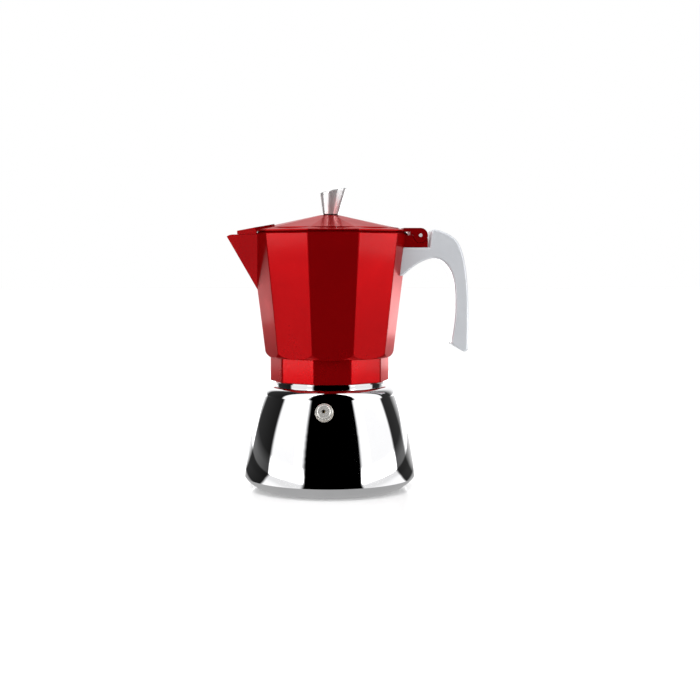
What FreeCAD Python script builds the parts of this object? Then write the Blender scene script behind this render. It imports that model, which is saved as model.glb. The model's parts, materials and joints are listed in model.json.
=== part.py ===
"""Stove-top moka pot, modelled as the separate pieces it comes apart into.

Frame: millimetres, +Z up, origin on the stove surface at the centre of the
round base.  The handle points along +X, the spout along -X, and the safety
valve looks towards -Y.  Every piece is written to parts/NODE.step.
"""
import FreeCAD, Part
import math
import os

from FreeCAD import Placement, Rotation, Vector

os.makedirs("parts", exist_ok=True)

# ---------------------------------------------------------------- boiler
BOILER_HEIGHT = 71.1        # stove surface to the foot of the neck
BASE_BULGE_R = 58.9         # widest radius, just above the rounded base edge
BASE_BULGE_Z = 7.9
BASE_EDGE = 15.4            # how far the flat base lies inside the widest radius
SIDE_BULGE = 2.4            # how far the side bows out between base and shoulder
SHOULDER_DEPTH = 6.2        # height of the rounded shoulder
SHOULDER_ROUND = 6.1        # width of the rounded shoulder
SHOULDER_FLAT = 3.6         # flat ledge round the neck
BOILER_WALL = 1.6
NECK_R = 36.0               # outside of the neck's thread
NECK_WALL = 2.4
NECK_HEIGHT = 12.0
NECK_RING_WIDTH = 1.4       # stop ring at the foot of the neck
NECK_RING_HEIGHT = 2.4
SPREADER_EDGE = 3.0         # spreader's rim inside the flat base
SPREADER_THICK = 4.0
SPREADER_CHAMFER = 1.0

# ---------------------------------------------------------------- valve
VALVE_AZIMUTH = -97.0       # degrees from +X
VALVE_DROP = 7.7            # valve axis below the shoulder
VALVE_TILT = 17.0           # degrees the valve looks up, square to the wall
VALVE_PAD_PROUD = 0.25      # flat seat in front of the curved wall
VALVE_PAD_R = 6.3
VALVE_PAD_THICK = 2.8
VALVE_WASHER_R = 6.1
VALVE_WASHER_THICK = 0.8
VALVE_HEX = 10.6            # across flats
VALVE_HEX_THICK = 2.6
VALVE_BOSS_R = 4.6
VALVE_BOSS_LENGTH = 2.2
VALVE_SHANK_R = 4.0
VALVE_SHANK_LENGTH = 9.4
VALVE_BORE_R = 2.7
VALVE_SEAT_THICK = 1.4
VALVE_PORT_R = 1.3          # steam port through the inner seat
VALVE_CAP_THICK = 1.1
VALVE_MOUTH_R = 1.3
VALVE_NUT_HEX = 11.4
VALVE_NUT_THICK = 2.6
VALVE_FIT_GAP = 0.05
POPPET_STEM_R = 1.0
POPPET_HEAD_R = 2.4
POPPET_HEAD_THICK = 1.6
POPPET_TRAVEL = 1.0
SPRING_COIL_R = 1.75
SPRING_WIRE_R = 0.25
SPRING_TURNS = 6

# ---------------------------------------------------------------- funnel
FUNNEL_FLANGE_THICK = 0.8
FLANGE_EDGE = 0.8           # flange's rim inside the neck's outside
BASKET_GAP = 1.0            # between the basket and the neck's bore
BASKET_WALL = 0.8
BASKET_DEPTH = 27.0
BASKET_LEDGE = 1.5          # ledge that carries the perforated plate
FUNNEL_CONE_HEIGHT = 11.0
FUNNEL_STEM_R = 5.2
FUNNEL_STEM_WALL = 0.9
STEM_FLOOR_GAP = 5.0        # stem's open foot above the spreader
STEM_SLEEVE = 5.0           # length of the sleeve that grips the stem
PLATE_THICK = 0.8
PLATE_EDGE_GAP = 0.1
PLATE_HOLE_R = 0.9
PLATE_RINGS = 4

# ---------------------------------------------------------------- gasket and filter
GASKET_SIDE_GAP = 0.9       # gasket to the collar's bore
GASKET_WIDTH = 7.9
GASKET_THICK = 3.4
GASKET_SEAT_GAP = 0.1
FILTER_EDGE = 0.8           # filter's rim inside the gasket's rim
FILTER_RISE = 1.6           # raised centre of the filter
FILTER_HOLE_R = 0.75
FILTER_RINGS = 4
FILTER_POCKET_GAP = 0.3

# ---------------------------------------------------------------- collector
SIDES = 10
COLLAR_GAP = 1.0            # collar above the neck's stop ring
COLLAR_HEIGHT = 16.65
COLLAR_WALL = 2.9
COLLAR_CORNER_ROUND = 5.0
COLLAR_EDGE_ROUND = 0.8
COLLAR_BORE_GAP = 0.3       # running gap round the neck's thread
BODY_STEP = 0.5             # body's turned foot proud of the collar
BODY_FOOT_TURN = 5.6        # height of the turned foot
BODY_FOOT_WIDTH = 3.2
BODY_HEIGHT = 85.8
BODY_FLARE = 9.8            # corner radius gained from foot to rim
BODY_CORNER_ROUND = 2.0     # more than the rim bevel
BODY_WALL = 2.8
BODY_FLOOR_THICK = 3.6
RIM_BEVEL = 1.6
STEAM_DOME_HEIGHT = 3.4
COLUMN_R = 6.6
COLUMN_TOP_R = 5.4
COLUMN_BORE_R = 3.6
COLUMN_HEIGHT = 50.0
COLUMN_SPIGOT_R = 5.0
COLUMN_CAP_R = 7.2
COLUMN_CAP_HEIGHT = 9.0
COLUMN_CAP_SKIRT = 3.0
COLUMN_CAP_TOP = 1.6
COLUMN_SLOT_WIDTH = 4.2
COLUMN_FIT_GAP = 0.02

# ---------------------------------------------------------------- spout
SPOUT_HALF_WIDTH = 15.0
SPOUT_DROP = 1.85           # spout's edge below the rim
SPOUT_HEIGHT = 37.5
SPOUT_REACH = 17.7          # lip tip outside the rim's corner
SPOUT_TIP_DROP = 4.1        # lip tip below the spout's edge
SPOUT_KEEL_REACH = 12.4     # where the straight keel ends, outside the rim's corner
SPOUT_KEEL_DROP = 7.5
SPOUT_LIP_LENGTH = 5.9      # length of the drooping lip
SPOUT_LIP_FRONT = 1.2       # height of the lip's blunt front
SPOUT_WALL = 2.0

# ---------------------------------------------------------------- hinge
HINGE_OFFSET = 7.4          # pin outside the rim's corner
HINGE_DROP = 2.3            # pin below the rim
HINGE_PIN_R = 1.25
HINGE_HALF_WIDTH = 9.5
KNUCKLE_R = 5.0
INNER_KNUCKLE_R = 4.5
KNUCKLE_HALF_WIDTH = 4.7
HINGE_GAP = 0.3             # between parts that turn past each other
PIN_RUNNING_GAP = 0.05
PIN_SEAT_GAP = 0.02
PIN_END = 0.4               # pin's ends proud of the knuckles
LUG_LENGTH = 5.0            # lug beyond the pin
LUG_HEIGHT = 8.2
LUG_NOTCH_GAP = 1.2         # lug to the notch in the handle
LUG_RELIEF = 2.0            # depth cut behind the knuckle, so that the open lid's arm clears

# ---------------------------------------------------------------- lid
LID_GAP = 0.15              # between rim and lid
LID_OVERHANG = 0.3
LID_SKIRT = 0.95
LID_WALL = 2.0
LID_RISE = 11.55            # knob's seat above the rim
LID_TOP_R = 6.6
LID_RIB_GAP = 1.6           # rib to the body's inner faces
LID_RIB_THICK = 1.4
LID_RIB_DEPTH = 2.0
LID_RIB_ROOT = 2.6
LID_SEAT_R = 8.0
LID_SEAT_THICK = 3.6
BEAK_REACH = 8.7            # beak's cut front outside the rim's corner
BEAK_TIP_THICK = 2.3
BEAK_RIDGE_BACK = 16.7      # where the beak's roof meets the cone, inside the corner
BEAK_RIDGE_RISE = 4.4
BEAK_GAP = 0.2
BEAK_HALF_WIDTH = 15.4

# ---------------------------------------------------------------- knob
KNOB_OFFSET = 0.8
KNOB_WASHER_R = 5.0
KNOB_WASHER_THICK = 0.8
KNOB_WAIST_R = 5.55
KNOB_TOP_R = 10.3
KNOB_LEAN = 1.9             # how far the top's centre leans towards the handle
KNOB_CONE_HEIGHT = 20.6
KNOB_DOME_R = 24.0
KNOB_DOME_LEAN = 6.2
KNOB_HEIGHT = 18.6          # dome's top above the washer
KNOB_EDGE_ROUND = 0.9
KNOB_SCREW_R = 2.0
KNOB_SCREW_LENGTH = 13.0
KNOB_SCREW_HEAD_R = 3.8
KNOB_SCREW_HEAD = 2.2
SCREW_GAP = 0.2
SCREW_SEAT_GAP = 0.02

# ---------------------------------------------------------------- handle
HANDLE_HALF_WIDTH = 10.0
HANDLE_ROUND = 1.6
HANDLE_END_ROUND = 2.4
HANDLE_SCREW_BACK = 4.2     # screw's axis, from the hinge pin towards the body
HANDLE_SCREW_R = 2.0
HANDLE_SCREW_REACH = 5.2    # thread length in the lug
HANDLE_SCREW_HEAD_R = 3.5
HANDLE_SCREW_HEAD = 2.6
HANDLE_SCREW_GRIP = 4.6     # handle thickness that the screw clamps
HANDLE_WASHER_THICK = 0.7
HEX_KEY = 2.5               # key socket across flats
HEX_KEY_DEPTH = 1.6

UP = Vector(0, 0, 1)
ALONG_Y = Vector(0, 1, 0)
CENTRE = Vector(0, 0, 0)
BIG = 400.0

# ---------------------------------------------------------------- radii and levels that follow
APOTHEM = math.cos(math.pi / SIDES)
BASE_CONTACT_R = BASE_BULGE_R - BASE_EDGE
SPREADER_R = BASE_CONTACT_R - SPREADER_EDGE
SPREADER_TOP_Z = BOILER_WALL + SPREADER_THICK
SHOULDER_TOP_R = NECK_R + SHOULDER_FLAT
SHOULDER_R = SHOULDER_TOP_R + SHOULDER_ROUND
SHOULDER_Z = BOILER_HEIGHT - SHOULDER_DEPTH
NECK_TOP_Z = BOILER_HEIGHT + NECK_HEIGHT
NECK_BORE_R = NECK_R - NECK_WALL
VALVE_Z = SHOULDER_Z - VALVE_DROP
BASKET_R = NECK_BORE_R - BASKET_GAP
BASKET_FLOOR_Z = NECK_TOP_Z - BASKET_DEPTH
FLANGE_TOP_Z = NECK_TOP_Z + FUNNEL_FLANGE_THICK
COLLAR_BORE_R = NECK_R + COLLAR_BORE_GAP
COLLAR_R = (COLLAR_BORE_R + COLLAR_WALL) / APOTHEM
COLLAR_Z = BOILER_HEIGHT + NECK_RING_HEIGHT + COLLAR_GAP
GASKET_R = COLLAR_BORE_R - GASKET_SIDE_GAP
GASKET_BORE_R = GASKET_R - GASKET_WIDTH
GASKET_Z = FLANGE_TOP_Z + GASKET_SEAT_GAP
GASKET_TOP_Z = GASKET_Z + GASKET_THICK
FILTER_R = GASKET_R - FILTER_EDGE
FILTER_TOP_Z = GASKET_TOP_Z + PLATE_THICK
DOME_TOP_Z = FILTER_TOP_Z + FILTER_RISE + STEAM_DOME_HEIGHT
BODY_FLOOR_Z = DOME_TOP_Z + BODY_FLOOR_THICK
BODY_FOOT_Z = COLLAR_Z + COLLAR_HEIGHT
BODY_FOOT_R = COLLAR_R + BODY_STEP
BODY_LOW_R = BODY_FOOT_R + BODY_FOOT_WIDTH
BODY_TOP_R = BODY_LOW_R + BODY_FLARE
BODY_TAPER = BODY_FLARE / (BODY_HEIGHT - BODY_FOOT_TURN)
RIM_Z = BODY_FOOT_Z + BODY_HEIGHT
COLUMN_TOP_Z = BODY_FLOOR_Z + COLUMN_HEIGHT
HINGE_X = BODY_TOP_R + HINGE_OFFSET
HINGE_Z = RIM_Z - HINGE_DROP
LUG_Z = HINGE_Z - LUG_HEIGHT
LID_Z = RIM_Z + LID_GAP
LID_R = BODY_TOP_R + LID_OVERHANG
LID_TOP_Z = RIM_Z + LID_RISE
SPOUT_TOP_Z = RIM_Z - SPOUT_DROP
SPOUT_APEX_Z = SPOUT_TOP_Z - SPOUT_HEIGHT
KNOB_Z = LID_TOP_Z + KNOB_WASHER_THICK
HANDLE_SCREW_X = HINGE_X - HANDLE_SCREW_BACK


def body_radius(z):
    """Return the body's corner radius at a height."""
    return BODY_TOP_R + (z - RIM_Z) * BODY_TAPER


# ---------------------------------------------------------------- helpers
def cylinder(radius, height, base_z=0.0):
    """Return an upright cylinder on the pot's axis."""
    return Part.makeCylinder(radius, height, Vector(0, 0, base_z), UP)


def tube(outer, inner, height, base_z=0.0):
    """Return an upright tube on the pot's axis."""
    return cylinder(outer, height, base_z).cut(cylinder(inner, height, base_z))


def block(x0, x1, half_y, z0, z1):
    """Return a box that is symmetric about the XZ plane."""
    return Part.makeBox(x1 - x0, 2 * half_y, z1 - z0, Vector(x0, -half_y, z0))


def cross_rod(radius, half_y, x, z):
    """Return a cylinder along Y that is symmetric about the XZ plane."""
    return Part.makeCylinder(radius, 2 * half_y, Vector(x, -half_y, z), ALONG_Y)


def polygon(sides, radius, z):
    """Return a closed regular polygon with a corner on the X axis."""
    step = 2 * math.pi / sides
    corners = [
        Vector(radius * math.cos(i * step), radius * math.sin(i * step), z)
        for i in range(sides)
    ]
    return Part.makePolygon(corners + corners[:1])


def tapered_decagon(low_r, high_r, low_z, high_z):
    """Return the solid between two decagons."""
    wires = [polygon(SIDES, low_r, low_z), polygon(SIDES, high_r, high_z)]
    return Part.makeLoft(wires, True, True)


def hexagon_prism(across_flats, height, base_z):
    """Return a hexagonal prism on the Z axis."""
    face = Part.Face(polygon(6, across_flats / math.sqrt(3), base_z))
    return face.extrude(Vector(0, 0, height))


def edges_where(shape, test):
    """Return the edges whose bounding box passes a test."""
    return [edge for edge in shape.Edges if test(edge.BoundBox)]


def round_corners(solid, radius):
    """Round the edges that climb the corners of a decagonal solid."""
    return solid.makeFillet(radius, edges_where(solid, lambda b: b.ZLength > b.XLength + b.YLength))


def edges_at(solid, z):
    """Return the edges that lie flat at a height."""
    return edges_where(solid, lambda b: abs(b.ZMin - z) < 0.01 and abs(b.ZMax - z) < 0.01)


def line(a, b):
    """Return a straight edge between two (x, z) points."""
    return Part.LineSegment(Vector(a[0], 0, a[1]), Vector(b[0], 0, b[1])).toShape()


def arc(a, middle, b):
    """Return an arc edge through three (x, z) points."""
    points = [Vector(x, 0, z) for x, z in (a, middle, b)]
    return Part.Arc(*points).toShape()


def curve(points):
    """Return a smooth edge through (x, z) points."""
    spline = Part.BSplineCurve()
    spline.interpolate([Vector(x, 0, z) for x, z in points])
    return spline.toShape()


def chain(points):
    """Return the closed chain of straight edges through (x, z) points."""
    return [line(a, b) for a, b in zip(points, points[1:] + points[:1])]


def turned(edges):
    """Return the solid swept by a closed XZ outline about the pot's axis."""
    return Part.Face(Part.Wire(edges)).revolve(CENTRE, UP, 360)


def thick_outline(edges, half_y):
    """Return a closed XZ outline made thick along Y, symmetric about the XZ plane."""
    face = Part.Face(Part.Wire(edges))
    face.translate(Vector(0, -half_y, 0))
    return face.extrude(Vector(0, 2 * half_y, 0))


def space_behind(point, normal):
    """Return a large box that fills the side of a plane away from its normal."""
    box = Part.makeBox(BIG, BIG, BIG, Vector(-BIG / 2, -BIG / 2, -BIG))
    box.Placement = Placement(point, Rotation(UP, normal))
    return box


def moved(shape, x=0.0, y=0.0, z=0.0):
    """Return a copy moved along the axes."""
    result = shape.copy()
    result.translate(Vector(x, y, z))
    return result


def hole_pegs(rings, reach, radius, height, base_z):
    """Return upright pegs: one in the centre, then rings of 6, 12, 18 and so on."""
    peg = cylinder(radius, height, base_z)
    pegs = [peg]
    for ring in range(1, rings + 1):
        count = 6 * ring
        distance = reach * ring / rings
        for i in range(count):
            angle = 2 * math.pi * i / count
            pegs.append(moved(peg, distance * math.cos(angle), distance * math.sin(angle)))
    return pegs


def save(name, shape):
    """Write one piece to parts/NAME.step."""
    shape.exportStep("parts/" + name + ".step")


# ---------------------------------------------------------------- boiler pieces
def vessel_side(inset):
    """Return the arc of the boiler's side, moved inwards by a wall thickness."""
    low = (BASE_BULGE_R - inset, BASE_BULGE_Z)
    high = (SHOULDER_R - inset, SHOULDER_Z)
    middle = ((low[0] + high[0]) / 2 + SIDE_BULGE, (low[1] + high[1]) / 2)
    return low, middle, high


def vessel(inset):
    """Return the boiler's solid of revolution, moved inwards by a wall thickness."""
    low, middle, high = vessel_side(inset)
    foot = (BASE_CONTACT_R, inset)
    edge = (foot[0] + 0.62 * (low[0] - foot[0]), inset + 0.29 * (low[1] - inset))
    top = (SHOULDER_TOP_R - inset, BOILER_HEIGHT - inset)
    turn = (top[0] + 0.69 * (high[0] - top[0]), high[1] + 0.67 * (top[1] - high[1]))
    neck_r = NECK_BORE_R if inset else NECK_R
    edges = [
        line((0, inset), foot),
        arc(foot, edge, low),
        arc(low, middle, high),
        arc(high, turn, top),
        line(top, (neck_r, top[1])),
        line((neck_r, top[1]), (neck_r, NECK_TOP_Z)),
        line((neck_r, NECK_TOP_Z), (0, NECK_TOP_Z)),
        line((0, NECK_TOP_Z), (0, inset)),
    ]
    return turned(edges)


def valve_seat():
    """Return the point where the valve's axis meets its flat seat."""
    level = Part.makeLine(Vector(0, 0, VALVE_Z), Vector(BIG, 0, VALVE_Z))
    wall_point = arc(*vessel_side(0.0)).distToShape(level)[1][0][0]
    reach = wall_point.x + VALVE_PAD_PROUD / math.cos(math.radians(VALVE_TILT))
    azimuth = math.radians(VALVE_AZIMUTH)
    return Vector(reach * math.cos(azimuth), reach * math.sin(azimuth), VALVE_Z)


def place_on_valve(shape):
    """Move a shape from the Z axis to the valve: z = 0 on the seat, +Z outwards."""
    azimuth = math.radians(VALVE_AZIMUTH)
    tilt = math.radians(VALVE_TILT)
    level = math.cos(tilt)
    outwards = Vector(math.cos(azimuth) * level, math.sin(azimuth) * level, math.sin(tilt))
    result = shape.copy()
    result.Placement = Placement(valve_seat(), Rotation(UP, outwards)).multiply(result.Placement)
    return result


def boiler_shell():
    """Return the drawn steel vessel with its neck and the valve's flat seat."""
    shell = vessel(0.0)
    shell = shell.fuse(cylinder(NECK_R + NECK_RING_WIDTH, NECK_RING_HEIGHT, BOILER_HEIGHT))
    shell = shell.cut(vessel(BOILER_WALL))
    pad = cylinder(VALVE_PAD_R, VALVE_PAD_THICK, -VALVE_PAD_THICK)
    shell = shell.fuse(place_on_valve(pad))
    bore = cylinder(VALVE_SHANK_R + VALVE_FIT_GAP, 3 * VALVE_PAD_THICK, -2 * VALVE_PAD_THICK)
    return shell.cut(place_on_valve(bore)).removeSplitter()


def heat_spreader():
    """Return the aluminium disc bonded inside the base."""
    disc = cylinder(SPREADER_R, SPREADER_THICK, BOILER_WALL)
    return disc.makeChamfer(SPREADER_CHAMFER, edges_at(disc, SPREADER_TOP_Z))


# ---------------------------------------------------------------- valve pieces
VALVE_FRONT = VALVE_WASHER_THICK + VALVE_HEX_THICK + VALVE_BOSS_LENGTH
VALVE_BACK = VALVE_WASHER_THICK - VALVE_SHANK_LENGTH
POPPET_SEAT = VALVE_BACK + VALVE_SEAT_THICK
CAP_BACK = VALVE_FRONT - VALVE_CAP_THICK
SPRING_FOOT = POPPET_SEAT + POPPET_HEAD_THICK


def valve_washer():
    """Return the sealing washer under the hexagon."""
    inner = VALVE_SHANK_R + VALVE_FIT_GAP
    return place_on_valve(tube(VALVE_WASHER_R, inner, VALVE_WASHER_THICK))


def valve_body():
    """Return the hexagon, boss and hollow threaded shank."""
    body = hexagon_prism(VALVE_HEX, VALVE_HEX_THICK, VALVE_WASHER_THICK)
    limit = cylinder(VALVE_HEX / 2 + 0.5, VALVE_HEX_THICK, VALVE_WASHER_THICK)
    limit = limit.makeChamfer(0.5, edges_at(limit, VALVE_WASHER_THICK + VALVE_HEX_THICK))
    body = body.common(limit)
    boss = cylinder(VALVE_BOSS_R, VALVE_FRONT - VALVE_WASHER_THICK, VALVE_WASHER_THICK)
    boss = boss.makeFillet(0.8, edges_at(boss, VALVE_FRONT))
    body = body.fuse([boss, cylinder(VALVE_SHANK_R, VALVE_SHANK_LENGTH, VALVE_BACK)])
    body = body.cut(cylinder(VALVE_BORE_R, VALVE_FRONT - POPPET_SEAT, POPPET_SEAT))
    body = body.cut(cylinder(VALVE_PORT_R, VALVE_SEAT_THICK, VALVE_BACK))
    return place_on_valve(body.removeSplitter())


def valve_cap():
    """Return the disc crimped into the valve's front, with the steam mouth."""
    disc = tube(VALVE_BORE_R - PIN_SEAT_GAP, VALVE_MOUTH_R, VALVE_CAP_THICK, CAP_BACK)
    return place_on_valve(disc)


def valve_nut():
    """Return the hexagon nut that clamps the valve from inside."""
    base = -VALVE_PAD_THICK - VALVE_NUT_THICK
    nut = hexagon_prism(VALVE_NUT_HEX, VALVE_NUT_THICK, base)
    hole = cylinder(VALVE_SHANK_R + PIN_SEAT_GAP, VALVE_NUT_THICK, base)
    return place_on_valve(nut.cut(hole))


def valve_poppet():
    """Return the plunger that closes the steam port."""
    head = cylinder(POPPET_HEAD_R, POPPET_HEAD_THICK, POPPET_SEAT)
    stem_length = CAP_BACK - VALVE_FIT_GAP - POPPET_TRAVEL - POPPET_SEAT
    return place_on_valve(head.fuse(cylinder(POPPET_STEM_R, stem_length, POPPET_SEAT)).removeSplitter())


def valve_spring():
    """Return the coil spring between the plunger's head and the cap."""
    rest = SPRING_WIRE_R + VALVE_FIT_GAP
    length = CAP_BACK - SPRING_FOOT - 2 * rest
    helix = Part.makeHelix(length / SPRING_TURNS, length, SPRING_COIL_R)
    start = Vector(SPRING_COIL_R, 0, 0)
    section = Part.Wire(Part.makeCircle(SPRING_WIRE_R, start, ALONG_Y))
    coil = Part.Wire(helix.Edges).makePipeShell([section], True, True)
    return place_on_valve(moved(coil, z=SPRING_FOOT + rest))


# ---------------------------------------------------------------- funnel pieces
def funnel_basket():
    """Return the coffee basket with its flange, ledge, cone and stem sleeve."""
    wall = BASKET_WALL
    sleeve_r = FUNNEL_STEM_R + PIN_SEAT_GAP
    ledge_r = BASKET_R - wall - BASKET_LEDGE
    cone_z = BASKET_FLOOR_Z - wall
    sleeve_z = cone_z - FUNNEL_CONE_HEIGHT
    outline = [
        (BASKET_R, NECK_TOP_Z),
        (NECK_R - FLANGE_EDGE, NECK_TOP_Z),
        (NECK_R - FLANGE_EDGE, FLANGE_TOP_Z),
        (BASKET_R - wall, FLANGE_TOP_Z),
        (BASKET_R - wall, BASKET_FLOOR_Z),
        (ledge_r, BASKET_FLOOR_Z),
        (ledge_r, cone_z),
        (sleeve_r, sleeve_z),
        (sleeve_r, sleeve_z - STEM_SLEEVE),
        (sleeve_r + wall, sleeve_z - STEM_SLEEVE),
        (sleeve_r + wall, sleeve_z - wall),
        (ledge_r + wall, cone_z - wall),
        (BASKET_R, cone_z),
    ]
    return turned(chain(outline))


def funnel_plate():
    """Return the perforated plate that carries the ground coffee."""
    radius = BASKET_R - BASKET_WALL - PLATE_EDGE_GAP
    reach = radius - BASKET_LEDGE - 3 * PLATE_HOLE_R
    disc = cylinder(radius, PLATE_THICK, BASKET_FLOOR_Z)
    return disc.cut(hole_pegs(PLATE_RINGS, reach, PLATE_HOLE_R, PLATE_THICK, BASKET_FLOOR_Z))


def funnel_stem():
    """Return the tube that dips into the water."""
    foot_z = SPREADER_TOP_Z + STEM_FLOOR_GAP
    top_z = BASKET_FLOOR_Z - BASKET_WALL - FUNNEL_CONE_HEIGHT
    return tube(FUNNEL_STEM_R, FUNNEL_STEM_R - FUNNEL_STEM_WALL, top_z - foot_z, foot_z)


# ---------------------------------------------------------------- gasket and filter
def gasket():
    """Return the silicone ring that seals boiler and collector."""
    ring = tube(GASKET_R, GASKET_BORE_R, GASKET_THICK, GASKET_Z)
    return ring.makeFillet(0.6, edges_at(ring, GASKET_Z))


def filter_plate():
    """Return the perforated steel filter with its raised centre."""
    low_r = GASKET_BORE_R - 1.0
    high_r = low_r - FILTER_RISE
    outline = [
        (0, FILTER_TOP_Z + FILTER_RISE),
        (high_r, FILTER_TOP_Z + FILTER_RISE),
        (low_r, FILTER_TOP_Z),
        (FILTER_R, FILTER_TOP_Z),
        (FILTER_R, GASKET_TOP_Z),
        (low_r - PLATE_THICK / 2, GASKET_TOP_Z),
        (high_r - PLATE_THICK / 2, GASKET_TOP_Z + FILTER_RISE),
        (0, GASKET_TOP_Z + FILTER_RISE),
    ]
    disc = turned(chain(outline))
    reach = high_r - 3 * FILTER_HOLE_R
    pegs = hole_pegs(FILTER_RINGS, reach, FILTER_HOLE_R, PLATE_THICK, GASKET_TOP_Z + FILTER_RISE)
    return disc.cut(pegs)


# ---------------------------------------------------------------- collector
def body_outer():
    """Return the flared ten-sided body with its rounded corners and turned foot."""
    body = tapered_decagon(body_radius(BODY_FOOT_Z), BODY_TOP_R, BODY_FOOT_Z, RIM_Z)
    body = round_corners(body, BODY_CORNER_ROUND)
    turn_top_z = BODY_FOOT_Z + BODY_FOOT_TURN
    above_z = RIM_Z + 1.0
    edges = [
        line((0, BODY_FOOT_Z), (BODY_FOOT_R, BODY_FOOT_Z)),
        arc(
            (BODY_FOOT_R, BODY_FOOT_Z),
            (BODY_FOOT_R + 0.66 * BODY_FOOT_WIDTH, BODY_FOOT_Z + 0.38 * BODY_FOOT_TURN),
            (BODY_LOW_R, turn_top_z),
        ),
        line((BODY_LOW_R, turn_top_z), (BIG, turn_top_z)),
        line((BIG, turn_top_z), (BIG, above_z)),
        line((BIG, above_z), (0, above_z)),
        line((0, above_z), (0, BODY_FOOT_Z)),
    ]
    return body.common(turned(edges))


def collar():
    """Return the ten-sided collar that grips the neck, before it is bored."""
    prism = tapered_decagon(COLLAR_R, COLLAR_R, COLLAR_Z, BODY_FOOT_Z)
    prism = round_corners(prism, COLLAR_CORNER_ROUND)
    return prism.makeFillet(COLLAR_EDGE_ROUND, edges_at(prism, COLLAR_Z))


def collector_hollow():
    """Return the coffee chamber inside the body."""
    inset = BODY_WALL / APOTHEM
    above_z = RIM_Z + 5.0
    low_r = body_radius(BODY_FLOOR_Z) - inset
    return tapered_decagon(low_r, body_radius(above_z) - inset, BODY_FLOOR_Z, above_z)


def collector_underside():
    """Return the stepped bore for neck, gasket and filter, and the steam dome."""
    dome_r = GASKET_BORE_R
    dome_z = FILTER_TOP_Z + FILTER_RISE
    pocket_r = FILTER_R + FILTER_POCKET_GAP
    outline = [
        (0, COLLAR_Z - 1.0),
        (COLLAR_BORE_R, COLLAR_Z - 1.0),
        (COLLAR_BORE_R, GASKET_TOP_Z),
        (pocket_r, GASKET_TOP_Z),
        (pocket_r, FILTER_TOP_Z),
        (dome_r, FILTER_TOP_Z),
        (dome_r, dome_z),
        (COLUMN_SPIGOT_R + COLUMN_FIT_GAP, DOME_TOP_Z),
        (COLUMN_SPIGOT_R + COLUMN_FIT_GAP, BODY_FLOOR_Z + 1.0),
        (0, BODY_FLOOR_Z + 1.0),
    ]
    return turned(chain(outline))


def spout_sides(inset):
    """Return the two spaces whose overlap lies between the spout's flat sides."""
    keel = Vector(-BODY_TOP_R - SPOUT_KEEL_REACH, 0, SPOUT_TOP_Z - SPOUT_KEEL_DROP)
    apex = Vector(-body_radius(SPOUT_APEX_Z), 0, SPOUT_APEX_Z)
    root_x = -body_radius(SPOUT_TOP_Z) + SPOUT_HALF_WIDTH * math.tan(math.pi / SIDES)
    root = Vector(root_x, SPOUT_HALF_WIDTH, SPOUT_TOP_Z)
    normal = (root - apex).cross(keel - apex).normalize()
    normal = normal if normal.y > 0 else -normal
    left = space_behind(root - normal * inset, normal)
    return left, left.mirror(CENTRE, ALONG_Y)


def between_spout_sides(solid, inset):
    """Keep the part of a solid that lies between the spout's flat sides."""
    left, right = spout_sides(inset)
    return solid.common(left).common(right)


def spout_outer():
    """Return the V-shaped spout with its drooping lip, before it is hollowed."""
    tip_x = -BODY_TOP_R - SPOUT_REACH
    keel_x = -BODY_TOP_R - SPOUT_KEEL_REACH
    keel_z = SPOUT_TOP_Z - SPOUT_KEEL_DROP
    tip_z = SPOUT_TOP_Z - SPOUT_TIP_DROP
    front_z = tip_z + SPOUT_LIP_FRONT
    lip_x = tip_x + SPOUT_LIP_LENGTH
    back_x = -0.5 * body_radius(SPOUT_APEX_Z)
    edges = [
        line((back_x, SPOUT_TOP_Z), (lip_x, SPOUT_TOP_Z)),
        arc((lip_x, SPOUT_TOP_Z), (tip_x + 2.5, SPOUT_TOP_Z - 0.8), (tip_x, front_z)),
        line((tip_x, front_z), (tip_x, tip_z)),
        arc((tip_x, tip_z), (tip_x + 3.1, tip_z - 1.1), (keel_x, keel_z)),
        line((keel_x, keel_z), (-body_radius(SPOUT_APEX_Z), SPOUT_APEX_Z)),
        line((-body_radius(SPOUT_APEX_Z), SPOUT_APEX_Z), (back_x, SPOUT_APEX_Z)),
        line((back_x, SPOUT_APEX_Z), (back_x, SPOUT_TOP_Z)),
    ]
    return between_spout_sides(thick_outline(edges, 2 * SPOUT_HALF_WIDTH), 0.0)


def spout_channel():
    """Return the V-shaped channel that opens the body into the spout."""
    far_x = -BODY_TOP_R - 2 * SPOUT_REACH
    back_x = -0.7 * body_radius(SPOUT_APEX_Z)
    room = block(far_x, back_x, 2 * SPOUT_HALF_WIDTH, SPOUT_APEX_Z, RIM_Z + 1.0)
    return between_spout_sides(room, SPOUT_WALL)


def hinge_lug():
    """Return the lug with its middle knuckle and the recesses for the lid's knuckles."""
    back_x = body_radius(LUG_Z) - BODY_WALL
    lug = block(back_x, HINGE_X + LUG_LENGTH, HINGE_HALF_WIDTH, LUG_Z, HINGE_Z)
    recess = cross_rod(KNUCKLE_R + HINGE_GAP, HINGE_HALF_WIDTH + 1.0, HINGE_X, HINGE_Z)
    recess = recess.cut(cross_rod(2 * KNUCKLE_R, KNUCKLE_HALF_WIDTH, HINGE_X, HINGE_Z))
    far_x = HINGE_X + 2 * LUG_LENGTH
    relief = block(HINGE_X, far_x, HINGE_HALF_WIDTH + 1.0, HINGE_Z - LUG_RELIEF, HINGE_Z + 1.0)
    knuckle = cross_rod(INNER_KNUCKLE_R, KNUCKLE_HALF_WIDTH, HINGE_X, HINGE_Z)
    return lug.cut([recess, relief]).fuse(knuckle)


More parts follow.
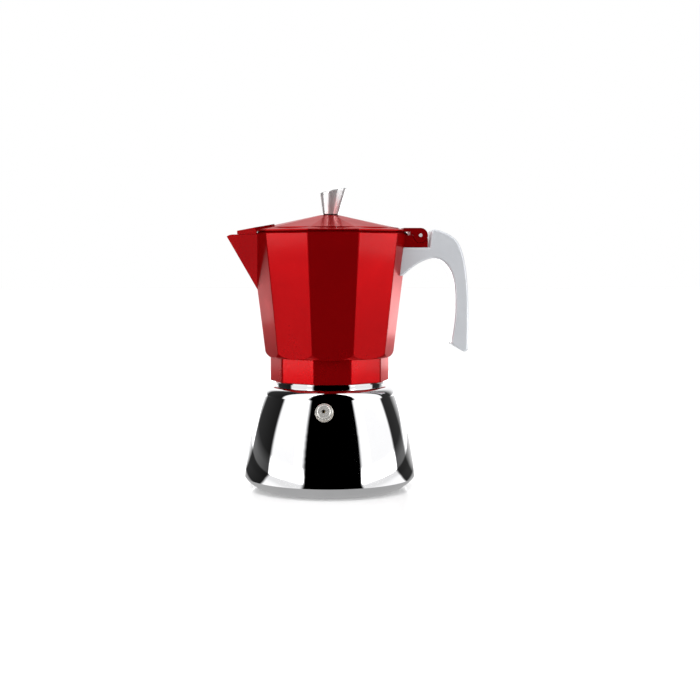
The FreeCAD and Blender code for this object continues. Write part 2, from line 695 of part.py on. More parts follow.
def collector():
    """Return the cast body: collar, chamber, spout and hinge lug in one."""
    body = body_outer()
    body = body.makeChamfer(RIM_BEVEL, edges_at(body, RIM_Z))
    body = body.fuse([collar(), spout_outer(), hinge_lug()])
    body = body.cut([collector_hollow(), spout_channel(), collector_underside()])
    pin_hole = cross_rod(HINGE_PIN_R + PIN_SEAT_GAP, HINGE_HALF_WIDTH, HINGE_X, HINGE_Z)
    screw_r = HANDLE_SCREW_R + SCREW_SEAT_GAP
    screw_hole = moved(cylinder(screw_r, HANDLE_SCREW_REACH + 0.5, LUG_Z), x=HANDLE_SCREW_X)
    return body.cut([pin_hole, screw_hole]).removeSplitter()


def riser_column():
    """Return the tapered tube that brings the coffee up into the chamber."""
    spigot = cylinder(COLUMN_SPIGOT_R, BODY_FLOOR_THICK, DOME_TOP_Z)
    tower = Part.makeCone(COLUMN_R, COLUMN_TOP_R, COLUMN_HEIGHT, Vector(0, 0, BODY_FLOOR_Z), UP)
    bore = cylinder(COLUMN_BORE_R, BODY_FLOOR_THICK + COLUMN_HEIGHT, DOME_TOP_Z)
    return spigot.fuse(tower).cut(bore)


def column_cap():
    """Return the cap on the column, with two side outlets."""
    foot_z = COLUMN_TOP_Z - COLUMN_CAP_SKIRT
    top_z = foot_z + COLUMN_CAP_HEIGHT
    cap = cylinder(COLUMN_CAP_R, COLUMN_CAP_HEIGHT, foot_z)
    cap = cap.makeFillet(1.4, edges_at(cap, top_z))
    taper = (COLUMN_R - COLUMN_TOP_R) / COLUMN_HEIGHT
    skirt_r = COLUMN_TOP_R + COLUMN_CAP_SKIRT * taper + COLUMN_FIT_GAP
    cap = cap.cut(Part.makeCone(
        skirt_r, COLUMN_TOP_R + COLUMN_FIT_GAP, COLUMN_CAP_SKIRT, Vector(0, 0, foot_z), UP
    ))
    room = top_z - COLUMN_CAP_TOP - COLUMN_TOP_Z
    cap = cap.cut(cylinder(COLUMN_BORE_R, room, COLUMN_TOP_Z))
    outlet = block(-BIG / 2, BIG / 2, COLUMN_SLOT_WIDTH / 2, COLUMN_TOP_Z + 0.6, COLUMN_TOP_Z + room)
    return cap.cut(outlet)


# ---------------------------------------------------------------- hinge pin
def hinge_pin():
    """Return the pin through the lug's and the lid's knuckles."""
    return cross_rod(HINGE_PIN_R, HINGE_HALF_WIDTH + PIN_END, HINGE_X, HINGE_Z)


# ---------------------------------------------------------------- handle pieces
def handle_outline():
    """Return the handle's side outline with sharp corners, placed from the hinge pin."""
    def at(x, z):
        return (HINGE_X + x, HINGE_Z + z)

    root_x = body_radius(LUG_Z) - HINGE_X - 8.0
    root_z = -27.8
    seat_z = -LUG_HEIGHT
    notch_x = LUG_LENGTH + LUG_NOTCH_GAP
    inner = [(-12.2, root_z), (-3.6, -20.8), (4.0, -16.9), (10.0, -15.8), (16.9, -18.9),
             (22.2, -27.6), (24.4, -44.0), (23.9, -58.5), (21.5, -75.0)]
    outer = [(33.1, -82.0), (33.7, -60.0), (33.4, -44.0), (32.3, -29.0), (29.7, -14.0),
             (24.3, -2.8), (16.0, 2.4), (7.7, 4.4)]
    return [
        line(at(root_x, root_z), at(*inner[0])),
        curve([at(*point) for point in inner]),
        line(at(*inner[-1]), at(*outer[0])),
        curve([at(*point) for point in outer]),
        line(at(*outer[-1]), at(notch_x, seat_z)),
        line(at(notch_x, seat_z), at(root_x, seat_z)),
        line(at(root_x, seat_z), at(root_x, root_z)),
    ]


def handle():
    """Return the handle, notched over the body's corner and bored for its screw."""
    grip = thick_outline(handle_outline(), HANDLE_HALF_WIDTH)
    clear_x = HINGE_X + LUG_LENGTH + 2.0
    grip = grip.makeFillet(
        HANDLE_END_ROUND,
        edges_where(grip, lambda b: b.XMin > clear_x and b.XLength + b.ZLength < 0.01),
    )
    root_x = body_radius(LUG_Z)
    grip = grip.makeFillet(
        HANDLE_ROUND,
        edges_where(grip, lambda b: b.XMax > root_x and b.YLength < 0.01),
    )
    grip = grip.cut(body_outer())
    grip_z = LUG_Z - HANDLE_SCREW_GRIP
    hole = cylinder(HANDLE_SCREW_R + SCREW_GAP, BIG / 4, LUG_Z - BIG / 4)
    pocket = cylinder(HANDLE_SCREW_HEAD_R + SCREW_GAP, BIG / 4, grip_z - BIG / 4)
    return grip.cut([moved(hole, x=HANDLE_SCREW_X), moved(pocket, x=HANDLE_SCREW_X)])


def handle_washer():
    """Return the washer under the handle screw's head."""
    foot_z = LUG_Z - HANDLE_SCREW_GRIP - HANDLE_WASHER_THICK
    ring = tube(HANDLE_SCREW_HEAD_R, HANDLE_SCREW_R + SCREW_GAP, HANDLE_WASHER_THICK, foot_z)
    return moved(ring, x=HANDLE_SCREW_X)


def handle_screw():
    """Return the socket screw that pulls the handle up against the lug."""
    seat_z = LUG_Z - HANDLE_SCREW_GRIP - HANDLE_WASHER_THICK
    foot_z = seat_z - HANDLE_SCREW_HEAD
    head = cylinder(HANDLE_SCREW_HEAD_R, HANDLE_SCREW_HEAD, foot_z)
    shank = cylinder(HANDLE_SCREW_R, LUG_Z + HANDLE_SCREW_REACH - seat_z, seat_z)
    screw = head.fuse(shank).cut(hexagon_prism(HEX_KEY, HEX_KEY_DEPTH, foot_z))
    return moved(screw, x=HANDLE_SCREW_X)


# ---------------------------------------------------------------- lid
def lid_cone_slope():
    """Return the rise of the lid's roof per millimetre of corner radius."""
    return (LID_TOP_Z - LID_Z - LID_SKIRT) / (LID_R - LID_TOP_R)


def lid_roof():
    """Return the skirt and the shallow ten-sided roof, solid."""
    skirt = tapered_decagon(LID_R, LID_R, LID_Z, LID_Z + LID_SKIRT)
    skirt = round_corners(skirt, BODY_CORNER_ROUND)
    roof = tapered_decagon(LID_R, LID_TOP_R, LID_Z + LID_SKIRT, LID_TOP_Z)
    limit = cylinder(LID_R - 0.05 * BODY_CORNER_ROUND, LID_RISE, LID_Z)
    return skirt.fuse(roof.common(limit))


def lid_hollow():
    """Return the room under the roof, one wall thickness inside it."""
    drop = LID_WALL * math.hypot(1, lid_cone_slope() / APOTHEM)
    inner_r = LID_R - LID_WALL / APOTHEM
    shoulder_z = LID_Z + LID_SKIRT + (LID_R - inner_r) * lid_cone_slope() - drop
    low = tapered_decagon(inner_r, inner_r, LID_Z - 1.0, shoulder_z)
    high = tapered_decagon(inner_r, LID_TOP_R, shoulder_z, LID_TOP_Z - drop)
    return low.fuse(high)


def lid_rib():
    """Return the rib that centres the lid, open at the spout and at the hinge."""
    outer = (BODY_TOP_R * APOTHEM - BODY_WALL) - LID_RIB_GAP
    height = LID_RIB_DEPTH + LID_RIB_ROOT
    rib = tube(outer, outer - LID_RIB_THICK, height, LID_Z - LID_RIB_DEPTH)
    spout_gap = block(-BIG / 2, 0, SPOUT_HALF_WIDTH, LID_Z - LID_RIB_DEPTH, LID_Z)
    return rib.cut(spout_gap)


def lid_beak():
    """Return the roof that covers the spout."""
    front_x = -BODY_TOP_R - BEAK_REACH
    ridge_x = -BODY_TOP_R + BEAK_RIDGE_BACK
    floor_z = SPOUT_TOP_Z + BEAK_GAP
    front_z = floor_z + BEAK_TIP_THICK
    ridge_z = front_z + BEAK_RIDGE_RISE
    roof = [(front_x, floor_z), (front_x, front_z), (ridge_x, ridge_z), (ridge_x, floor_z)]
    beak = thick_outline(chain(roof), BEAK_HALF_WIDTH)
    room = [(front_x, front_z - BEAK_TIP_THICK), (ridge_x, ridge_z - BEAK_TIP_THICK), (ridge_x, floor_z)]
    hollow = thick_outline(chain(room), 2 * SPOUT_HALF_WIDTH)
    beak = between_spout_sides(beak, 0.0).cut(between_spout_sides(hollow, SPOUT_WALL))
    rim_r = BODY_TOP_R + HINGE_GAP
    inside_rim = tapered_decagon(rim_r, rim_r, RIM_Z - BODY_HEIGHT, LID_Z)
    return beak.cut(inside_rim).cut(lid_hollow())


def lid_arm():
    """Return the hinge arm with its two knuckles, open for the lug's knuckle."""
    top_z = HINGE_Z + KNUCKLE_R
    rim_x = BODY_TOP_R + HINGE_GAP
    inner_x = (LID_R - LID_WALL) * APOTHEM
    arm = block(rim_x, HINGE_X, HINGE_HALF_WIDTH, HINGE_Z + HINGE_GAP, top_z)
    root = block(inner_x, rim_x, HINGE_HALF_WIDTH, LID_Z, top_z)
    knuckles = cross_rod(KNUCKLE_R, HINGE_HALF_WIDTH, HINGE_X, HINGE_Z)
    middle = KNUCKLE_HALF_WIDTH + HINGE_GAP
    gap = cross_rod(INNER_KNUCKLE_R + HINGE_GAP, middle, HINGE_X, HINGE_Z)
    behind = block(HINGE_X, HINGE_X + 2 * KNUCKLE_R, middle, HINGE_Z - 2 * KNUCKLE_R, top_z + 1.0)
    below = block(rim_x, HINGE_X, middle, HINGE_Z - 2 * KNUCKLE_R, HINGE_Z + HINGE_GAP)
    return arm.fuse([root, knuckles]).cut([gap, behind, below])


def lid():
    """Return the lid: roof, beak, centring rib, knob seat and hinge arm."""
    seat_z = LID_TOP_Z - LID_SEAT_THICK
    seat = moved(cylinder(LID_SEAT_R, LID_SEAT_THICK - 1.0, seat_z), x=KNOB_OFFSET)
    cover = lid_roof().cut(lid_hollow())
    cover = cover.fuse([lid_rib(), lid_beak(), lid_arm(), seat])
    pin_hole = cross_rod(HINGE_PIN_R + PIN_RUNNING_GAP, HINGE_HALF_WIDTH, HINGE_X, HINGE_Z)
    screw_hole = moved(cylinder(KNOB_SCREW_R + SCREW_GAP, LID_RISE, seat_z - 1.0), x=KNOB_OFFSET)
    return cover.cut([pin_hole, screw_hole]).removeSplitter()


# ---------------------------------------------------------------- knob pieces
def knob_washer():
    """Return the heat-insulating washer between lid and knob."""
    ring = tube(KNOB_WASHER_R, KNOB_SCREW_R + SCREW_GAP, KNOB_WASHER_THICK, LID_TOP_Z)
    return moved(ring, x=KNOB_OFFSET)


def knob():
    """Return the leaning knob: an oblique cone under a shallow dome."""
    waist = Part.Wire(Part.makeCircle(KNOB_WAIST_R, Vector(KNOB_OFFSET, 0, KNOB_Z)))
    top_z = KNOB_Z + KNOB_CONE_HEIGHT
    brim = Part.Wire(Part.makeCircle(KNOB_TOP_R, Vector(KNOB_OFFSET + KNOB_LEAN, 0, top_z)))
    cone = Part.makeLoft([waist, brim], True, True)
    dome_z = KNOB_Z + KNOB_HEIGHT - KNOB_DOME_R
    dome = Part.makeSphere(KNOB_DOME_R, Vector(KNOB_OFFSET + KNOB_DOME_LEAN, 0, dome_z))
    shaped = cone.common(dome)
    middle_z = KNOB_Z + KNOB_HEIGHT / 2
    brim_edges = edges_where(shaped, lambda b: b.ZMin > middle_z and b.YLength > KNOB_TOP_R)
    shaped = shaped.makeFillet(KNOB_EDGE_ROUND, brim_edges)
    depth = KNOB_SCREW_LENGTH - LID_SEAT_THICK - KNOB_WASHER_THICK + 0.5
    hole = moved(cylinder(KNOB_SCREW_R + SCREW_SEAT_GAP, depth, KNOB_Z), x=KNOB_OFFSET)
    return shaped.cut(hole)


def knob_screw():
    """Return the screw that holds the knob from inside the lid."""
    seat_z = LID_TOP_Z - LID_SEAT_THICK
    foot_z = seat_z - KNOB_SCREW_HEAD
    head = cylinder(KNOB_SCREW_HEAD_R, KNOB_SCREW_HEAD, foot_z)
    screw = head.fuse(cylinder(KNOB_SCREW_R, KNOB_SCREW_LENGTH, seat_z))
    screw = screw.cut(hexagon_prism(HEX_KEY, HEX_KEY_DEPTH, foot_z))
    return moved(screw, x=KNOB_OFFSET)


PIECES = {
    "boiler_shell": boiler_shell,
    "heat_spreader": heat_spreader,
    "valve_washer": valve_washer,
    "valve_body": valve_body,
    "valve_cap": valve_cap,
    "valve_nut": valve_nut,
    "valve_poppet": valve_poppet,
    "valve_spring": valve_spring,
    "funnel_basket": funnel_basket,
    "funnel_plate": funnel_plate,
    "funnel_stem": funnel_stem,
    "gasket": gasket,
    "filter_plate": filter_plate,
    "collector": collector,
    "riser_column": riser_column,
    "column_cap": column_cap,
    "hinge_pin": hinge_pin,
    "handle": handle,
    "handle_washer": handle_washer,
    "handle_screw": handle_screw,
    "lid": lid,
    "knob_washer": knob_washer,
    "knob": knob,
    "knob_screw": knob_screw,
}

for piece_name, build_piece in PIECES.items():
    piece = build_piece()
    box = piece.BoundBox
    print(piece_name, "solids", len(piece.Solids), "valid", piece.isValid(),
          "volume", round(piece.Volume, 1),
          "x", round(box.XMin, 1), round(box.XMax, 1), "z", round(box.ZMin, 1), round(box.ZMax, 1))
    save(piece_name, piece)
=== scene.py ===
"""Looks of a stove-top moka pot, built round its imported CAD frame.

Frame: metres, +Z up, origin at the centre of the flat base.  The handle points
along +X, the spout along -X and the safety valve looks towards -Y.  Each
sub-assembly is a class whose fields are its sizes and finishes and whose
methods dress the CAD nodes and add the fine surfaces that ride on them.
"""
import json
import logging
import math
from collections.abc import Sequence
from dataclasses import dataclass, field
from enum import Enum

import bpy
import numpy as np
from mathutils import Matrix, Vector


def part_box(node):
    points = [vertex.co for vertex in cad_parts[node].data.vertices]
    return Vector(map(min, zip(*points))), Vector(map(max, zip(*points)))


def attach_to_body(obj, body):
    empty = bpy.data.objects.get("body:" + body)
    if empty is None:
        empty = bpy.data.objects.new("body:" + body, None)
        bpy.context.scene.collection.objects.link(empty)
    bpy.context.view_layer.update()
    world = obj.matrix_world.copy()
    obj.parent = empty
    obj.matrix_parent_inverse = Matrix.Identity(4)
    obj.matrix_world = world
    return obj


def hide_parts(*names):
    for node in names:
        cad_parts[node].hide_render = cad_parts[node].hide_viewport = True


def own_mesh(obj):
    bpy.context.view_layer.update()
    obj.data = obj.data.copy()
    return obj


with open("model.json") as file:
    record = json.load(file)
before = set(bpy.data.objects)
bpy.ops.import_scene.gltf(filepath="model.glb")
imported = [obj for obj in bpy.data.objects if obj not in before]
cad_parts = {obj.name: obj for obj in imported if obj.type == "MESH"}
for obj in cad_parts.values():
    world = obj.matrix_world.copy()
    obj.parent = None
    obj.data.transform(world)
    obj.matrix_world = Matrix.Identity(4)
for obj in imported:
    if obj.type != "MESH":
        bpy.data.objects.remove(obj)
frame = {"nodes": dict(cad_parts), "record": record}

LOG = logging.getLogger("moka_pot")
MM = 0.001
TURN = 2.0 * math.pi
COARSE_SCALE = 0.23
COLOUR_MIX_INPUTS = (0, 6, 7)
COLOUR_MIX_OUTPUT = 2
WHITE = (1.0, 1.0, 1.0, 1.0)

Colour = tuple[float, float, float]
Stops = Sequence[tuple[float, float]]


class Texture(Enum):
    """How a surface was made, which sets the pattern of its fine relief."""

    CAST = "cast"
    POLISHED = "polished"
    DRAWN = "drawn"
    TURNED = "turned"
    MOULDED = "moulded"


class Body(Enum):
    """Bodies of the frame that the new pieces ride on."""

    BOILER = "boiler"
    FILTER = "filter"


# ---------------------------------------------------------------- shader building blocks
class ShaderGroup:
    """Builds one named node group and hands out instances of it."""

    def __init__(self, name: str) -> None:
        """Start an empty group.

        Args:
            name: Name of the node group.
        """
        self.tree = bpy.data.node_groups.new(name, "ShaderNodeTree")
        self.inputs = self.tree.nodes.new("NodeGroupInput")
        self.outputs = self.tree.nodes.new("NodeGroupOutput")

    def socket_in(self, name: str, kind: str, value: object = None) -> None:
        """Add a named input.

        Args:
            name: Socket name.
            kind: Socket type, such as NodeSocketFloat.
            value: Default value, if it has one.
        """
        socket = self.tree.interface.new_socket(name=name, in_out="INPUT", socket_type=kind)
        if value is not None:
            socket.default_value = value

    def socket_out(self, name: str, kind: str, source: bpy.types.NodeSocket) -> None:
        """Add a named output fed by a socket.

        Args:
            name: Socket name.
            kind: Socket type.
            source: Socket inside the group that feeds it.
        """
        self.tree.interface.new_socket(name=name, in_out="OUTPUT", socket_type=kind)
        self.tree.links.new(source, self.outputs.inputs[name])


def add_node(
    tree: bpy.types.NodeTree, kind: str, inputs: dict | None = None, **settings: object
) -> bpy.types.Node:
    """Add a node, set its options, and link or set its inputs.

    Args:
        tree: Tree that gets the node.
        kind: Node type.
        inputs: Input name or index to a socket to link, or to a value to set.
        settings: Node options, such as operation.

    Returns:
        The new node.
    """
    node = tree.nodes.new(kind)
    for option, value in settings.items():
        setattr(node, option, value)
    for key, value in (inputs or {}).items():
        if isinstance(value, bpy.types.NodeSocket):
            tree.links.new(value, node.inputs[key])
        else:
            node.inputs[key].default_value = value
    return node


def maths(
    tree: bpy.types.NodeTree, operation: str, *values: object, clamp: bool = False
) -> bpy.types.NodeSocket:
    """Add a Math node and return its result.

    Args:
        tree: Tree that gets the node.
        operation: Math operation.
        values: Sockets or numbers, in input order.
        clamp: Whether the result is held between 0 and 1.

    Returns:
        The node's output socket.
    """
    inputs = dict(enumerate(values))
    return add_node(tree, "ShaderNodeMath", inputs, operation=operation, use_clamp=clamp).outputs[0]


def blend_colours(
    tree: bpy.types.NodeTree, factor: object, first: object, second: object
) -> bpy.types.NodeSocket:
    """Add a colour Mix node and return its result.

    Args:
        tree: Tree that gets the node.
        factor: Share of the second colour.
        first: Colour socket or RGBA value.
        second: Colour socket or RGBA value.

    Returns:
        The mixed colour socket.
    """
    inputs = dict(zip(COLOUR_MIX_INPUTS, (factor, first, second)))
    return add_node(tree, "ShaderNodeMix", inputs, data_type="RGBA").outputs[COLOUR_MIX_OUTPUT]


def rgba(colour: Colour) -> tuple[float, float, float, float]:
    """Return a colour with full alpha."""
    return (*colour, 1.0)


def smudge_group() -> bpy.types.NodeTree:
    """Build the handling-smudge group.

    Returns:
        A group with a Mask output: soft cloudy patches between 0 and 1.
    """
    group = ShaderGroup("Handling_Smudges")
    group.socket_in("Vector", "NodeSocketVector")
    group.socket_in("Scale", "NodeSocketFloat", 30.0)
    tree, source = group.tree, group.inputs.outputs
    cloud = add_node(tree, "ShaderNodeTexNoise", {
        "Vector": source["Vector"], "Scale": source["Scale"],
        "Detail": 4.0, "Roughness": 0.55, "Distortion": 0.6,
    })
    mask = add_node(tree, "ShaderNodeMapRange", {
        "Value": cloud.outputs["Fac"], "From Min": 0.35, "From Max": 0.68,
    }, interpolation_type="SMOOTHSTEP")
    group.socket_out("Mask", "NodeSocketFloat", mask.outputs[0])
    return tree


def grain_group() -> bpy.types.NodeTree:
    """Build the surface-grain group.

    Returns:
        A group with a Height output: noise stretched along chosen axes, from 0 to 1.
    """
    group = ShaderGroup("Surface_Grain")
    group.socket_in("Vector", "NodeSocketVector")
    group.socket_in("Stretch", "NodeSocketVector", (1.0, 1.0, 1.0))
    group.socket_in("Scale", "NodeSocketFloat", 900.0)
    tree, source = group.tree, group.inputs.outputs
    stretched = add_node(tree, "ShaderNodeVectorMath", {
        0: source["Vector"], 1: source["Stretch"],
    }, operation="MULTIPLY")
    fine = add_node(tree, "ShaderNodeTexNoise", {
        "Vector": stretched.outputs[0], "Scale": source["Scale"], "Detail": 3.0, "Roughness": 0.6,
    })
    coarse_scale = maths(tree, "MULTIPLY", source["Scale"], COARSE_SCALE)
    coarse = add_node(tree, "ShaderNodeTexNoise", {
        "Vector": stretched.outputs[0], "Scale": coarse_scale, "Detail": 2.0, "Roughness": 0.5,
    })
    weighted = maths(tree, "MULTIPLY", coarse.outputs["Fac"], 0.5)
    height = maths(tree, "MULTIPLY_ADD", fine.outputs["Fac"], 0.5, weighted)
    group.socket_out("Height", "NodeSocketFloat", height)
    return tree


def rings_group() -> bpy.types.NodeTree:
    """Build the tool-mark group for turned surfaces.

    Returns:
        A group with a Height output that depends on the distance from the Z axis and on the level.
    """
    group = ShaderGroup("Turning_Marks")
    group.socket_in("Vector", "NodeSocketVector")
    group.socket_in("Centre", "NodeSocketVector", (0.0, 0.0, 0.0))
    group.socket_in("Scale", "NodeSocketFloat", 2500.0)
    tree, source = group.tree, group.inputs.outputs
    local = add_node(tree, "ShaderNodeVectorMath", {
        0: source["Vector"], 1: source["Centre"],
    }, operation="SUBTRACT")
    parts = add_node(tree, "ShaderNodeSeparateXYZ", {0: local.outputs[0]})
    level = parts.outputs["Z"]
    squared = maths(tree, "MULTIPLY", parts.outputs["X"], parts.outputs["X"])
    both = maths(tree, "MULTIPLY_ADD", parts.outputs["Y"], parts.outputs["Y"], squared)
    distance = maths(tree, "SQRT", both)
    line = add_node(tree, "ShaderNodeCombineXYZ", {"X": distance, "Y": level})
    marks = add_node(tree, "ShaderNodeTexNoise", {
        "Vector": line.outputs[0], "Scale": source["Scale"], "Detail": 2.0, "Roughness": 0.7,
    })
    group.socket_out("Height", "NodeSocketFloat", marks.outputs["Fac"])
    return tree


def wear_group() -> bpy.types.NodeTree:
    """Build the edge-wear group.

    Returns:
        A group with a Mask output: 1 where an edge is rubbed bright, broken up by noise.
    """
    group = ShaderGroup("Edge_Wear")
    group.socket_in("Vector", "NodeSocketVector")
    group.socket_in("Width", "NodeSocketFloat", 0.0006)
    group.socket_in("Break Up", "NodeSocketFloat", 400.0)
    tree, source = group.tree, group.inputs.outputs
    bevel = add_node(tree, "ShaderNodeBevel", {"Radius": source["Width"]}, samples=6)
    plain = add_node(tree, "ShaderNodeNewGeometry")
    cosine = add_node(tree, "ShaderNodeVectorMath", {
        0: bevel.outputs[0], 1: plain.outputs["Normal"],
    }, operation="DOT_PRODUCT")
    edge = add_node(tree, "ShaderNodeMapRange", {
        "Value": cosine.outputs["Value"], "From Min": 0.985, "From Max": 0.86,
    })
    patches = add_node(tree, "ShaderNodeTexNoise", {
        "Vector": source["Vector"], "Scale": source["Break Up"], "Detail": 3.0,
    })
    broken = add_node(tree, "ShaderNodeMapRange", {
        "Value": patches.outputs["Fac"], "From Min": 0.42, "From Max": 0.62,
    })
    mask = maths(tree, "MULTIPLY", edge.outputs[0], broken.outputs[0], clamp=True)
    group.socket_out("Mask", "NodeSocketFloat", mask)
    return tree


def flake_group() -> bpy.types.NodeTree:
    """Build the speckle group for flake-filled paint and sand-cast skin.

    Returns:
        A group with a Value output: a random level per tiny cell, from 0 to 1.
    """
    group = ShaderGroup("Flake_Speckle")
    group.socket_in("Vector", "NodeSocketVector")
    group.socket_in("Scale", "NodeSocketFloat", 2200.0)
    tree, source = group.tree, group.inputs.outputs
    cells = add_node(tree, "ShaderNodeTexVoronoi", {
        "Vector": source["Vector"], "Scale": source["Scale"],
    })
    parts = add_node(tree, "ShaderNodeSeparateColor", {0: cells.outputs["Color"]})
    group.socket_out("Value", "NodeSocketFloat", parts.outputs[0])
    return tree


@dataclass
class ShaderKit:
    """The node groups that the finishes share, each built once."""

    smudges: bpy.types.NodeTree = field(default_factory=smudge_group)
    grain: bpy.types.NodeTree = field(default_factory=grain_group)
    rings: bpy.types.NodeTree = field(default_factory=rings_group)
    wear: bpy.types.NodeTree = field(default_factory=wear_group)
    flakes: bpy.types.NodeTree = field(default_factory=flake_group)

    def use(self, tree: bpy.types.NodeTree, group: bpy.types.NodeTree, inputs: dict) -> bpy.types.NodeSocket:
        """Place an instance of a group and return its first output.

        Args:
            tree: Material tree that gets the instance.
            inputs: Values or sockets for its inputs.

        Returns:
            The instance's first output socket.
        """
        return add_node(tree, "ShaderNodeGroup", inputs, node_tree=group).outputs[0]


@dataclass(frozen=True)
class Finish:
    """One finish: a procedural material built from the shared groups."""

    name: str
    slot: str
    colour: Colour
    shade: Colour
    texture: Texture
    metallic: float = 1.0
    roughness: tuple[float, float] = (0.1, 0.2)
    relief: float = 0.1
    relief_depth: float = 0.02 * MM
    grain_scale: float = 900.0
    stretch: Colour = (1.0, 1.0, 1.0)
    centre: Colour = (0.0, 0.0, 0.0)
    smudge_scale: float = 30.0
    worn: Colour | None = None
    wear_width: float = 0.5 * MM
    wear_share: float = 0.5
    flakes: float = 0.0
    specular: float = 0.5
    edge_tint: Colour = (1.0, 1.0, 1.0)
    coat: float = 0.0
    coat_roughness: float = 0.04
    coat_ior: float = 1.4

    def build(self, kit: ShaderKit) -> bpy.types.Material:
        """Build the material.

        Args:
            kit: The shared node groups.

        Returns:
            The finished material.
        """
        material = bpy.data.materials.new(self.name)
        material.use_nodes = True
        tree = material.node_tree
        shader = tree.nodes["Principled BSDF"]
        place = tree.nodes.new("ShaderNodeTexCoord").outputs["Object"]
        smudge = kit.use(tree, kit.smudges, {"Vector": place, "Scale": self.smudge_scale})
        height = self.relief_height(tree, kit, place)
        colour = self.surface_colour(tree, kit, place, smudge)
        rough = self.surface_roughness(tree, smudge, height)
        bump = add_node(tree, "ShaderNodeBump", {
            "Height": height, "Strength": self.relief, "Distance": self.relief_depth,
        })
        tree.links.new(colour, shader.inputs["Base Color"])
        tree.links.new(rough, shader.inputs["Roughness"])
        tree.links.new(bump.outputs[0], shader.inputs["Normal"])
        constants = {
            "Metallic": self.metallic,
            "Specular IOR Level": self.specular,
            "Specular Tint": rgba(self.edge_tint),
            "Coat Weight": self.coat,
            "Coat Roughness": self.coat_roughness,
            "Coat IOR": self.coat_ior,
        }
        for socket, value in constants.items():
            shader.inputs[socket].default_value = value
        return material

    def relief_height(self, tree: bpy.types.NodeTree, kit: ShaderKit, place: object) -> bpy.types.NodeSocket:
        """Return the height socket of the fine relief.

        Args:
            tree: Material tree.
            kit: The shared node groups.
            place: Coordinates socket.

        Returns:
            A height between 0 and 1.
        """
        if self.texture is Texture.TURNED:
            inputs = {"Vector": place, "Centre": self.centre, "Scale": self.grain_scale}
            return kit.use(tree, kit.rings, inputs)
        inputs = {"Vector": place, "Scale": self.grain_scale, "Stretch": self.stretch}
        return kit.use(tree, kit.grain, inputs)

    def surface_colour(
        self, tree: bpy.types.NodeTree, kit: ShaderKit, place: object, smudge: object
    ) -> bpy.types.NodeSocket:
        """Return the colour with its drift, speckle and worn edges.

        Args:
            tree: Material tree.
            kit: The shared node groups.
            place: Coordinates socket.
            smudge: Smudge mask socket.

        Returns:
            The colour socket.
        """
        result = blend_colours(tree, smudge, rgba(self.colour), rgba(self.shade))
        if self.flakes > 0.0:
            level = kit.use(tree, kit.flakes, {"Vector": place})
            share = maths(tree, "MULTIPLY", level, self.flakes)
            result = blend_colours(tree, share, result, rgba(self.shade))
        if self.worn is not None:
            mask = kit.use(tree, kit.wear, {"Vector": place, "Width": self.wear_width})
            share = maths(tree, "MULTIPLY", mask, self.wear_share)
            result = blend_colours(tree, share, result, rgba(self.worn))
        return result

    def surface_roughness(
        self, tree: bpy.types.NodeTree, smudge: object, height: object
    ) -> bpy.types.NodeSocket:
        """Return the roughness: smudges move it across its range, the relief breaks it up.

        Args:
            tree: Material tree.
            smudge: Smudge mask socket.
            height: Relief height socket.

        Returns:
            The roughness socket.
        """
        low, high = self.roughness
        ranged = add_node(tree, "ShaderNodeMapRange", {"Value": smudge, "To Min": low, "To Max": high})
        centred = maths(tree, "SUBTRACT", height, 0.5)
        return maths(tree, "MULTIPLY_ADD", centred, 0.5 * (high - low), ranged.outputs[0], clamp=True)


